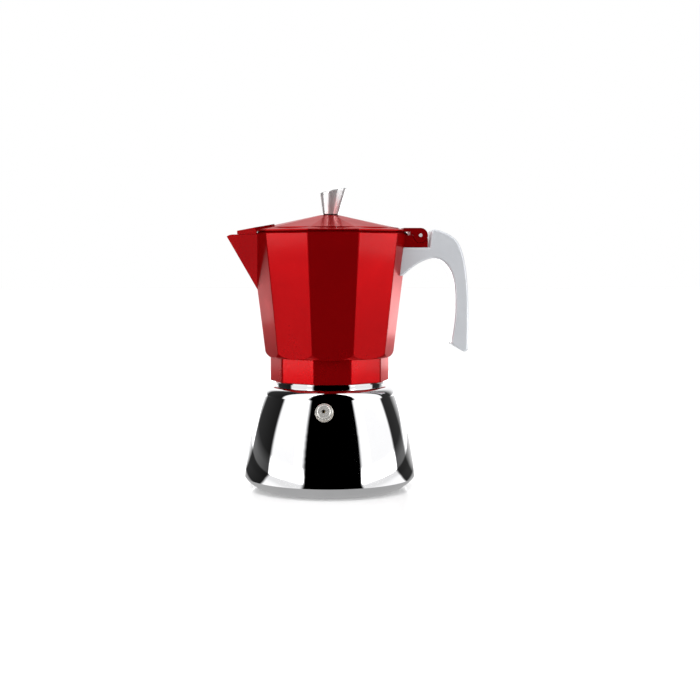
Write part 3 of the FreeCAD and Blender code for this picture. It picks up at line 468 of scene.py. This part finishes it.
@dataclass(frozen=True)
class Finishes:
    """Every finish of the pot, by the record's slot that it dresses."""

    polished_steel: Finish = Finish(
        "Mirror_Steel", "polished_steel", (0.86, 0.86, 0.87), (0.8, 0.8, 0.81), Texture.POLISHED,
        roughness=(0.015, 0.04), relief=0.05, relief_depth=0.004 * MM, grain_scale=160.0,
        stretch=(1.0, 1.0, 0.35), smudge_scale=22.0,
    )
    spreader_aluminium: Finish = Finish(
        "Spreader_Aluminium", "spreader_aluminium", (0.78, 0.78, 0.79), (0.66, 0.66, 0.67), Texture.TURNED,
        roughness=(0.3, 0.42), relief=0.4, smudge_scale=40.0,
    )
    valve_seal: Finish = Finish(
        "Fibre_Seal", "valve_seal", (0.5, 0.47, 0.42), (0.4, 0.37, 0.33), Texture.MOULDED,
        metallic=0.0, roughness=(0.75, 0.9), relief=0.5, grain_scale=2500.0,
    )
    valve_nickel: Finish = Finish(
        "Bright_Nickel", "valve_nickel", (0.93, 0.91, 0.87), (0.86, 0.84, 0.8), Texture.POLISHED,
        metallic=0.7, roughness=(0.16, 0.26), relief=0.2, grain_scale=1400.0, smudge_scale=120.0,
        worn=(0.9, 0.88, 0.84), wear_width=0.3 * MM,
    )
    valve_brass: Finish = Finish(
        "Turned_Brass", "valve_brass", (0.78, 0.58, 0.28), (0.66, 0.46, 0.2), Texture.TURNED,
        roughness=(0.22, 0.34), relief=0.3, smudge_scale=120.0,
    )
    spring_steel: Finish = Finish(
        "Spring_Wire", "spring_steel", (0.55, 0.55, 0.56), (0.42, 0.42, 0.43), Texture.DRAWN,
        roughness=(0.25, 0.38), relief=0.2, grain_scale=2500.0,
    )
    funnel_aluminium: Finish = Finish(
        "Pressed_Aluminium", "funnel_aluminium", (0.8, 0.8, 0.81), (0.7, 0.7, 0.71), Texture.TURNED,
        roughness=(0.26, 0.38), relief=0.3, smudge_scale=45.0, worn=(0.88, 0.88, 0.89),
    )
    gasket_silicone: Finish = Finish(
        "Silicone", "gasket_silicone", (0.83, 0.81, 0.76), (0.76, 0.73, 0.67), Texture.MOULDED,
        metallic=0.0, roughness=(0.5, 0.65), relief=0.2, grain_scale=1200.0, specular=0.4,
    )
    filter_steel: Finish = Finish(
        "Satin_Steel", "filter_steel", (0.66, 0.66, 0.67), (0.56, 0.55, 0.54), Texture.TURNED,
        roughness=(0.24, 0.36), relief=0.3, smudge_scale=60.0,
    )
    red_lacquer: Finish = Finish(
        "Red_Lacquer", "red_lacquer", (0.37, 0.0015, 0.003), (0.3, 0.001, 0.0025), Texture.CAST,
        metallic=0.62, roughness=(0.27, 0.35), relief=0.12, relief_depth=0.03 * MM, grain_scale=1500.0,
        smudge_scale=14.0, flakes=0.4, specular=0.05, edge_tint=(0.75, 0.12, 0.13),
        coat=0.16, coat_roughness=0.08, coat_ior=1.4,
    )
    column_aluminium: Finish = Finish(
        "Cast_Aluminium", "column_aluminium", (0.76, 0.76, 0.77), (0.64, 0.64, 0.65), Texture.CAST,
        roughness=(0.34, 0.48), relief=0.4, grain_scale=1100.0,
    )
    pin_steel: Finish = Finish(
        "Ground_Pin", "pin_steel", (0.82, 0.8, 0.8), (0.74, 0.72, 0.72), Texture.DRAWN,
        metallic=0.5, roughness=(0.3, 0.42), relief=0.2, grain_scale=2000.0,
    )
    handle_silver: Finish = Finish(
        "Satin_Silver", "handle_silver", (0.6, 0.62, 0.65), (0.55, 0.57, 0.6), Texture.CAST,
        metallic=0.25, roughness=(0.3, 0.38), relief=0.1, grain_scale=1300.0, smudge_scale=26.0,
        flakes=0.35, coat=0.2, coat_roughness=0.12,
    )
    screw_steel: Finish = Finish(
        "Zinc_Plate", "screw_steel", (0.68, 0.69, 0.7), (0.58, 0.59, 0.6), Texture.TURNED,
        roughness=(0.28, 0.4), relief=0.3, smudge_scale=90.0,
    )
    knob_seal: Finish = Finish(
        "Knob_Seal", "knob_seal", (0.05, 0.03, 0.03), (0.03, 0.02, 0.02), Texture.MOULDED,
        metallic=0.0, roughness=(0.55, 0.7), relief=0.3, grain_scale=1500.0,
    )
    knob_silver: Finish = Finish(
        "Polished_Knob", "knob_silver", (0.9, 0.905, 0.91), (0.84, 0.845, 0.85), Texture.POLISHED,
        metallic=0.7, roughness=(0.16, 0.24), relief=0.1, grain_scale=900.0, smudge_scale=80.0,
        coat=0.1,
    )


# ---------------------------------------------------------------- surfaces
def surface(
    name: str, points: np.ndarray, material: bpy.types.Material, close_u: bool = True, close_v: bool = False
) -> bpy.types.Object:
    """Make a mesh from a grid of points.

    Quads join each point to the next along both grid directions, so the mesh
    is the sampled surface itself.

    Args:
        name: Object name.
        points: Array of rows by columns by 3, in metres.
        material: Its material.
        close_u: Whether the last column joins the first.
        close_v: Whether the last row joins the first.

    Returns:
        The linked object.
    """
    rows, columns = points.shape[:2]
    row = np.arange(rows if close_v else rows - 1)
    column = np.arange(columns if close_u else columns - 1)
    r, c = np.meshgrid(row, column, indexing="ij")
    r_next, c_next = (r + 1) % rows, (c + 1) % columns
    corners = [(r, c), (r, c_next), (r_next, c_next), (r_next, c)]
    quads = np.stack([a * columns + b for a, b in corners], -1).reshape(-1, 4)
    mesh = bpy.data.meshes.new(name)
    mesh.vertices.add(rows * columns)
    mesh.vertices.foreach_set("co", points.reshape(-1).astype(np.float32))
    mesh.loops.add(quads.size)
    mesh.loops.foreach_set("vertex_index", quads.reshape(-1).astype(np.int32))
    mesh.polygons.add(len(quads))
    mesh.polygons.foreach_set("loop_start", np.arange(0, quads.size, 4, dtype=np.int32))
    mesh.update(calc_edges=True)
    mesh.validate()
    mesh.shade_smooth()
    mesh.materials.append(material)
    obj = bpy.data.objects.new(name, mesh)
    bpy.context.scene.collection.objects.link(obj)
    return obj


def lathe(
    name: str, profile: np.ndarray, material: bpy.types.Material, columns: int = 192, closed: bool = True
) -> bpy.types.Object:
    """Turn a profile about the Z axis.

    A point of the surface is (r cos a, r sin a, z) for each (r, z) of the profile
    and each angle a of the turn.

    Args:
        name: Object name.
        profile: Rows of (radius, height), in metres.
        material: Its material.
        columns: Steps round the turn.
        closed: Whether the profile's last point joins the first.

    Returns:
        The linked object.
    """
    angle = np.linspace(0.0, TURN, columns, endpoint=False)
    radius, height = profile[:, :1], profile[:, 1:]
    level = np.repeat(height, columns, axis=1)
    points = np.stack([radius * np.cos(angle), radius * np.sin(angle), level], -1)
    return surface(name, points, material, close_v=closed)


def attach(obj: bpy.types.Object, body: Body) -> bpy.types.Object:
    """Let a piece ride on a body.

    Args:
        obj: The piece.
        body: Body that carries it.

    Returns:
        The piece.
    """
    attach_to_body(obj, body.value)
    return obj


# ---------------------------------------------------------------- sub-assemblies
@dataclass
class Wardrobe:
    """Builds the materials once and dresses the CAD nodes with them."""

    kit: ShaderKit
    finishes: Finishes
    made: dict[str, bpy.types.Material] = field(default_factory=dict)

    def material(self, finish: Finish) -> bpy.types.Material:
        """Return the finish's material, building it on first use.

        Args:
            finish: The finish.

        Returns:
            Its material.
        """
        if finish.name not in self.made:
            self.made[finish.name] = finish.build(self.kit)
        return self.made[finish.name]

    def dress(self, finish: Finish, *nodes: str) -> None:
        """Give CAD nodes a finish.

        Args:
            finish: The finish.
            nodes: Names of the CAD nodes.
        """
        for node in nodes:
            mesh = frame["nodes"][node].data
            mesh.materials.clear()
            mesh.materials.append(self.material(finish))


@dataclass
class Boiler:
    """The steel vessel, its heat spreader and the thread on its neck."""

    wardrobe: Wardrobe
    neck_radius: float = 36.0 * MM
    thread_height: float = 0.25 * MM
    thread_pitch: float = 3.0 * MM
    thread_low: float = 74.9 * MM
    thread_turns: float = 2.2
    thread_width: float = 0.6
    thread_sink: float = 0.02 * MM
    thread_fade: float = 14.0
    thread_rows: int = 9
    steps: int = 700

    def build(self) -> None:
        """Dress the boiler's nodes and add the thread."""
        finishes = self.wardrobe.finishes
        self.wardrobe.dress(finishes.polished_steel, "boiler_shell")
        self.wardrobe.dress(finishes.spreader_aluminium, "heat_spreader")
        attach(self.thread(), Body.BOILER)

    def thread(self) -> bpy.types.Object:
        """Make the rolled thread on the neck.

        The ridge follows a helix of rising height; across it the radius is the
        neck's plus the thread height times a squared cosine, and its ends fade out.

        Returns:
            The thread ridge.
        """
        along = np.linspace(0.0, 1.0, self.steps)[None, :]
        across = np.linspace(-0.5, 0.5, self.thread_rows)[:, None]
        angle = TURN * self.thread_turns * along + 0.0 * across
        fade = np.clip(np.minimum(along, 1.0 - along) * self.thread_fade, 0.0, 1.0)
        lift = self.thread_height * fade * np.cos(math.pi * across) ** 2
        radius = self.neck_radius - self.thread_sink + lift
        rise = self.thread_turns * along + self.thread_width * across
        level = self.thread_low + self.thread_pitch * rise
        points = np.stack([radius * np.cos(angle), radius * np.sin(angle), level], -1)
        material = self.wardrobe.material(self.wardrobe.finishes.polished_steel)
        return surface("neck_thread", points[::-1], material, close_u=False)


@dataclass
class SafetyValve:
    """The pressure valve low on the shoulder, with its coiled spring."""

    wardrobe: Wardrobe
    coil_radius: float = 1.75 * MM
    wire_radius: float = 0.25 * MM
    coil_length: float = 9.5 * MM
    coil_turns: float = 6.0
    travel: float = 1.0 * MM
    wire_tip: float = 0.002
    wire_columns: int = 16
    steps: int = 360

    def build(self) -> None:
        """Dress the valve's nodes and coil the spring."""
        finishes = self.wardrobe.finishes
        self.wardrobe.dress(finishes.valve_nickel, "valve_body", "valve_cap")
        self.wardrobe.dress(finishes.valve_brass, "valve_nut", "valve_poppet")
        self.wardrobe.dress(finishes.valve_seal, "valve_washer")
        self.wardrobe.dress(finishes.spring_steel, "valve_spring")
        joints = frame["record"]["behaviour"]["joints"]
        axis = np.array(next(joint["axis"] for joint in joints if joint["name"] == "valve_lift"))
        low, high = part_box("valve_spring")
        centre = (np.array(low) + np.array(high)) / 2.0
        coil = attach(self.spring(centre, axis), Body.BOILER)
        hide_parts("valve_spring")
        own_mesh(coil)

    def spring(self, centre: np.ndarray, axis: np.ndarray) -> bpy.types.Object:
        """Coil the spring's wire round the valve's axis.

        The centre line is a helix of constant pitch. Round it the wire's section is a
        circle in the plane of the outward radius and of the cross product of the
        helix's tangent with that radius. Both ends narrow to a very small tip.

        Args:
            centre: Middle of the spring, in metres.
            axis: Direction in which the valve opens.

        Returns:
            The spring.
        """
        along = np.linspace(0.0, 1.0, self.steps)[:, None]
        angle = TURN * self.coil_turns * along
        side = np.cross(axis, (1.0, 0.0, 0.0))
        side /= np.linalg.norm(side)
        other = np.cross(axis, side)
        outward = np.cos(angle) * side + np.sin(angle) * other
        middle = centre + self.coil_radius * outward + axis * self.coil_length * (along - 0.5)
        tangent = np.gradient(middle, axis=0)
        tangent /= np.linalg.norm(tangent, axis=1, keepdims=True)
        across = np.cross(tangent, outward)
        turn = np.linspace(0.0, TURN, self.wire_columns, endpoint=False)[None, :, None]
        taper = np.clip(np.minimum(along, 1.0 - along) * self.steps / 2.0, self.wire_tip, 1.0)
        wire = self.wire_radius * taper
        circle = np.cos(turn) * outward[:, None] + np.sin(turn) * across[:, None]
        points = middle[:, None] + wire[:, None] * circle
        material = self.wardrobe.material(self.wardrobe.finishes.spring_steel)
        return surface("spring_coil", points, material)


@dataclass
class Funnel:
    """The coffee basket with its plate and stem."""

    wardrobe: Wardrobe

    def build(self) -> None:
        """Dress the funnel's nodes."""
        finishes = self.wardrobe.finishes
        self.wardrobe.dress(finishes.funnel_aluminium, "funnel_basket", "funnel_plate", "funnel_stem")


@dataclass
class Filter:
    """The gasket with its two sealing beads, and the perforated plate above it."""

    wardrobe: Wardrobe
    bead_insets: tuple[float, float] = (2.4 * MM, 5.3 * MM)
    bead_radius: float = 0.3 * MM
    bead_proud: float = 0.08 * MM
    bead_steps: int = 20

    def build(self) -> None:
        """Dress the filter's nodes and add the beads."""
        finishes = self.wardrobe.finishes
        self.wardrobe.dress(finishes.gasket_silicone, "gasket")
        self.wardrobe.dress(finishes.filter_steel, "filter_plate")
        low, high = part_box("gasket")
        for number, inset in enumerate(self.bead_insets, start=1):
            bead = self.bead(f"gasket_bead_{number}", high[0] - inset, low[2])
            attach(bead, Body.FILTER)

    def bead(self, name: str, radius: float, level: float) -> bpy.types.Object:
        """Make one moulded bead in the gasket's lower face.

        The bead is a full ring of round section, sunk into the face until only a
        low ridge stands proud, less than the gap to the funnel's flange.

        Args:
            name: Object name.
            radius: Radius of the bead's centre line.
            level: Height of the gasket's lower face.

        Returns:
            The bead.
        """
        turn = np.linspace(0.0, TURN, self.bead_steps, endpoint=False)
        across = radius + self.bead_radius * np.cos(turn)
        height = level - self.bead_proud + self.bead_radius * (1.0 + np.sin(turn))
        material = self.wardrobe.material(self.wardrobe.finishes.gasket_silicone)
        return lathe(name, np.stack([across, height], -1), material)


@dataclass
class Collector:
    """The ten-sided cast body with its column, pin, handle and screws."""

    wardrobe: Wardrobe

    def build(self) -> None:
        """Dress the upper half's nodes."""
        finishes = self.wardrobe.finishes
        self.wardrobe.dress(finishes.red_lacquer, "collector")
        self.wardrobe.dress(finishes.column_aluminium, "riser_column", "column_cap")
        self.wardrobe.dress(finishes.pin_steel, "hinge_pin")
        self.wardrobe.dress(finishes.handle_silver, "handle")
        self.wardrobe.dress(finishes.screw_steel, "handle_washer", "handle_screw")


@dataclass
class Lid:
    """The lid with its knob."""

    wardrobe: Wardrobe

    def build(self) -> None:
        """Dress the lid's nodes."""
        finishes = self.wardrobe.finishes
        self.wardrobe.dress(finishes.red_lacquer, "lid")
        self.wardrobe.dress(finishes.knob_seal, "knob_washer")
        self.wardrobe.dress(finishes.knob_silver, "knob")
        self.wardrobe.dress(finishes.screw_steel, "knob_screw")


# ---------------------------------------------------------------- studio
@dataclass
class Studio:
    """A plain white table under even light, with dark flags for the polished metal to mirror."""

    surround_radius: float = 0.95
    surround_height: float = 0.9
    surround_floor: float = -1.0 * MM
    surround_hub: float = 2.0 * MM
    surround_columns: int = 128
    ground_share: float = 0.4
    dome_share: float = 0.5
    dome_heights: tuple[float, float] = (1.3, 1.35)
    strip_levels: tuple[float, float] = (0.05, 0.09)
    ground_levels: tuple[float, float] = (0.004, 0.0)
    far_radii: tuple[float, float] = (0.24, 0.36)
    # Ground disc round the pot held dim in the surround: painted shade of the floor near the pot, as the
    # mirror rays see it.
    painted_shade_radii: tuple[float, float] = (0.13, 0.11)
    low_start: tuple[float, float] = (0.0, 0.01)
    low_end: tuple[float, float] = (0.12, 0.05)
    painted_shade_level: float = 0.36
    far_glow: float = 0.8
    low_glow: float = 4.0
    strip_glow: float = 3.0
    white: float = 1.2
    floor_size: float = 12.0
    floor_grey: float = 0.93
    floor_roughness: float = 0.18
    floor_specular: float = 0.2
    floor_glow: float = 0.05
    lamp_target: Colour = (0.0, 0.0, 0.1)
    sky: float = 1.0
    lamps: Sequence[tuple[str, Colour, float, float]] = (
        ("Softbox_Top", (-0.2, -0.3, 1.6), 1.4, 14.0),
        ("Softbox_Left", (-1.5, -0.5, 0.35), 0.9, 3.0),
        ("Softbox_Right", (1.5, -0.5, 0.35), 0.9, 5.0),
    )
    walls: Stops = (
        (-180.0, 1.0), (-150.0, 1.0), (-138.0, 0.03), (-92.0, 0.01), (-88.0, 1.0), (-40.0, 1.0), (-36.0, 0.0),
        (38.0, 0.0), (41.0, 1.0), (96.0, 1.0), (99.0, 0.02), (124.0, 0.03), (150.0, 0.9), (180.0, 1.0),
    )
    strips: Stops = (
        (-52.0, 0.0), (-49.0, 1.0), (-44.0, 1.0), (-41.0, 0.0),
        (43.0, 0.0), (46.0, 1.0), (51.0, 1.0), (54.0, 0.0),
    )

    def build(self) -> None:
        """Build the floor, the surround, the sky and the lamps."""
        self.sky_light()
        floor = self.floor()
        surround = self.surround()
        for lamp in self.lamps:
            self.lamp(*lamp)

    def sky_light(self) -> None:
        """Fill the world with even white light."""
        world = bpy.data.worlds.new("White_Tent")
        world.use_nodes = True
        background = world.node_tree.nodes["Background"]
        background.inputs["Color"].default_value = WHITE
        background.inputs["Strength"].default_value = self.sky
        bpy.context.scene.world = world

    def floor(self) -> bpy.types.Object:
        """Make the table top.

        Returns:
            The floor, hidden from mirror rays, which see the surround instead.
        """
        material = bpy.data.materials.new("White_Table")
        material.use_nodes = True
        shader = material.node_tree.nodes["Principled BSDF"]
        constants = {
            "Base Color": rgba((self.floor_grey, self.floor_grey, self.floor_grey)),
            "Roughness": self.floor_roughness,
            "Specular IOR Level": self.floor_specular,
            "Emission Color": WHITE,
            "Emission Strength": self.floor_glow,
        }
        for socket, value in constants.items():
            shader.inputs[socket].default_value = value
        half = self.floor_size / 2.0
        corner = np.array([-half, half])
        x, y = np.meshgrid(corner, corner)
        points = np.stack([x, y, np.zeros_like(x)], -1)
        obj = surface("Table", points, material, close_u=False)
        obj.visible_glossy = False
        return obj

    def surround(self) -> bpy.types.Object:
        """Make the ring of flags and white panels that only mirror rays see.

        The surface is a turned profile: a floor disc, a wall and a closed top.

        Returns:
            The surround.
        """
        r, h, z = self.surround_radius, self.surround_height, self.surround_floor
        eaves, top = self.dome_heights
        profile = np.array([
            (self.surround_hub, z), (self.ground_share * r, z), (r, z), (r, h),
            (self.dome_share * r, eaves * h), (self.surround_hub, top * h),
        ])
        obj = lathe("Surround", profile, self.surround_material(), self.surround_columns, closed=False)
        obj.visible_camera = False
        obj.visible_diffuse = False
        obj.visible_shadow = False
        obj.visible_transmission = False
        return obj

    def surround_material(self) -> bpy.types.Material:
        """Build the surround's glow: a level that depends on the bearing from the front, with a disc of
        painted shade on the ground round the pot.

        Returns:
            The emission material.
        """
        material = bpy.data.materials.new("Surround_Glow")
        material.use_nodes = True
        tree = material.node_tree
        tree.nodes.clear()
        place = tree.nodes.new("ShaderNodeTexCoord").outputs["Object"]
        parts = add_node(tree, "ShaderNodeSeparateXYZ", {0: place}).outputs
        forward = maths(tree, "MULTIPLY", parts["Y"], -1.0)
        bearing = maths(tree, "ARCTAN2", parts["X"], forward)
        share = maths(tree, "MULTIPLY_ADD", bearing, 1.0 / TURN, 0.5)
        wall = self.bearing_ramp(tree, share, self.walls)
        strip = maths(tree, "MULTIPLY", self.bearing_ramp(tree, share, self.strips), self.strip_glow)
        band = self.step(tree, parts["Z"], *self.strip_levels)
        lit = maths(tree, "MULTIPLY_ADD", strip, band, wall)
        squared = maths(tree, "MULTIPLY", parts["X"], parts["X"])
        distance = maths(tree, "SQRT", maths(tree, "MULTIPLY_ADD", parts["Y"], parts["Y"], squared))
        ground = self.step(tree, parts["Z"], *self.ground_levels)
        far = maths(tree, "MULTIPLY", self.step(tree, distance, *self.far_radii), ground)
        # Painted shade: within these radii the surround's ground glows at a fixed dim level, standing in for
        # the floor's shade round the pot.
        painted_shade_disc = maths(tree, "MULTIPLY", self.step(tree, distance, *self.painted_shade_radii), ground)
        dimming = maths(tree, "MULTIPLY_ADD", far, self.far_glow - 1.0, 1.0)
        above_ground = self.step(tree, parts["Z"], *self.low_start)
        low_band = maths(tree, "MULTIPLY", above_ground, self.step(tree, parts["Z"], *self.low_end))
        boost = maths(tree, "MULTIPLY_ADD", low_band, self.low_glow, dimming)
        level = maths(tree, "MULTIPLY", lit, boost)
        painted_shade_term = maths(tree, "MULTIPLY", painted_shade_disc, self.painted_shade_level)
        level = maths(tree, "MULTIPLY_ADD", level, maths(tree, "SUBTRACT", 1.0, painted_shade_disc), painted_shade_term)
        strength = maths(tree, "MULTIPLY", level, self.white)
        glow = add_node(tree, "ShaderNodeEmission", {"Strength": strength})
        add_node(tree, "ShaderNodeOutputMaterial", {"Surface": glow.outputs[0]})
        return material

    def bearing_ramp(
        self, tree: bpy.types.NodeTree, share: bpy.types.NodeSocket, levels: Stops
    ) -> bpy.types.NodeSocket:
        """Add a ramp over the bearing from the front.

        Args:
            tree: Material tree.
            share: Bearing as a share of the turn, 0.5 at the front.
            levels: Bearings in degrees with their levels.

        Returns:
            The ramp's colour socket.
        """
        ramp = add_node(tree, "ShaderNodeValToRGB", {"Fac": share})
        stops = ramp.color_ramp.elements
        for stop, (degrees, level) in zip(list(stops), (levels[0], levels[-1])):
            stop.position = degrees / 360.0 + 0.5
            stop.color = (level, level, level, 1.0)
        for degrees, level in levels[1:-1]:
            stops.new(degrees / 360.0 + 0.5).color = (level, level, level, 1.0)
        return ramp.outputs[0]

    def step(
        self, tree: bpy.types.NodeTree, value: bpy.types.NodeSocket, start: float, end: float
    ) -> bpy.types.NodeSocket:
        """Add a mask that goes from 0 to 1 between two values.

        Args:
            tree: Material tree.
            value: Socket to measure.
            start: Value at which the mask is 0.
            end: Value at which the mask is 1.

        Returns:
            The mask socket.
        """
        inputs = {"Value": value, "From Min": start, "From Max": end}
        return add_node(tree, "ShaderNodeMapRange", inputs).outputs[0]

    def lamp(self, name: str, place: Colour, size: float, power: float) -> None:
        """Hang one large soft lamp that faces the pot.

        Args:
            name: Name of the lamp.
            place: Its centre, in metres.
            size: Its width and height.
            power: Its power in watts.
        """
        light = bpy.data.lights.new(name, "AREA")
        light.shape = "RECTANGLE"
        light.size = size
        light.size_y = size
        light.energy = power
        obj = bpy.data.objects.new(name, light)
        obj.location = place
        aim = Vector(self.lamp_target) - obj.location
        obj.rotation_euler = aim.to_track_quat("-Z", "Y").to_euler()
        obj.visible_glossy = False
        bpy.context.scene.collection.objects.link(obj)


@dataclass
class Viewpoint:
    """The camera, a little above the pot and swung towards the spout."""

    position: Colour = (-43.8 * MM, -896.0 * MM, 157.9 * MM)
    bearing: float = 3.702
    pitch: float = 3.99
    lens: float = 66.6
    sensor: float = 36.0
    clip_start: float = 0.01

    def build(self) -> None:
        """Create the camera and make it the scene's own."""
        data = bpy.data.cameras.new("Camera")
        data.lens = self.lens
        data.sensor_width = self.sensor
        data.clip_start = self.clip_start
        obj = bpy.data.objects.new("Camera", data)
        obj.location = self.position
        obj.rotation_euler = (math.radians(90.0 - self.pitch), 0.0, math.radians(-self.bearing))
        bpy.context.scene.collection.objects.link(obj)
        bpy.context.scene.camera = obj


def main() -> None:
    """Build the pot's looks, the studio and the camera."""
    logging.basicConfig(level=logging.INFO, format="%(name)s: %(message)s")
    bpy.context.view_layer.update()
    wardrobe = Wardrobe(ShaderKit(), Finishes())
    for assembly in (Boiler, SafetyValve, Funnel, Filter, Collector, Lid):
        LOG.info("building %s", assembly.__name__)
        assembly(wardrobe).build()
    Studio().build()
    Viewpoint().build()
    scene = bpy.context.scene
    scene.view_settings.view_transform = "Standard"


if __name__ == "__main__":
    main()
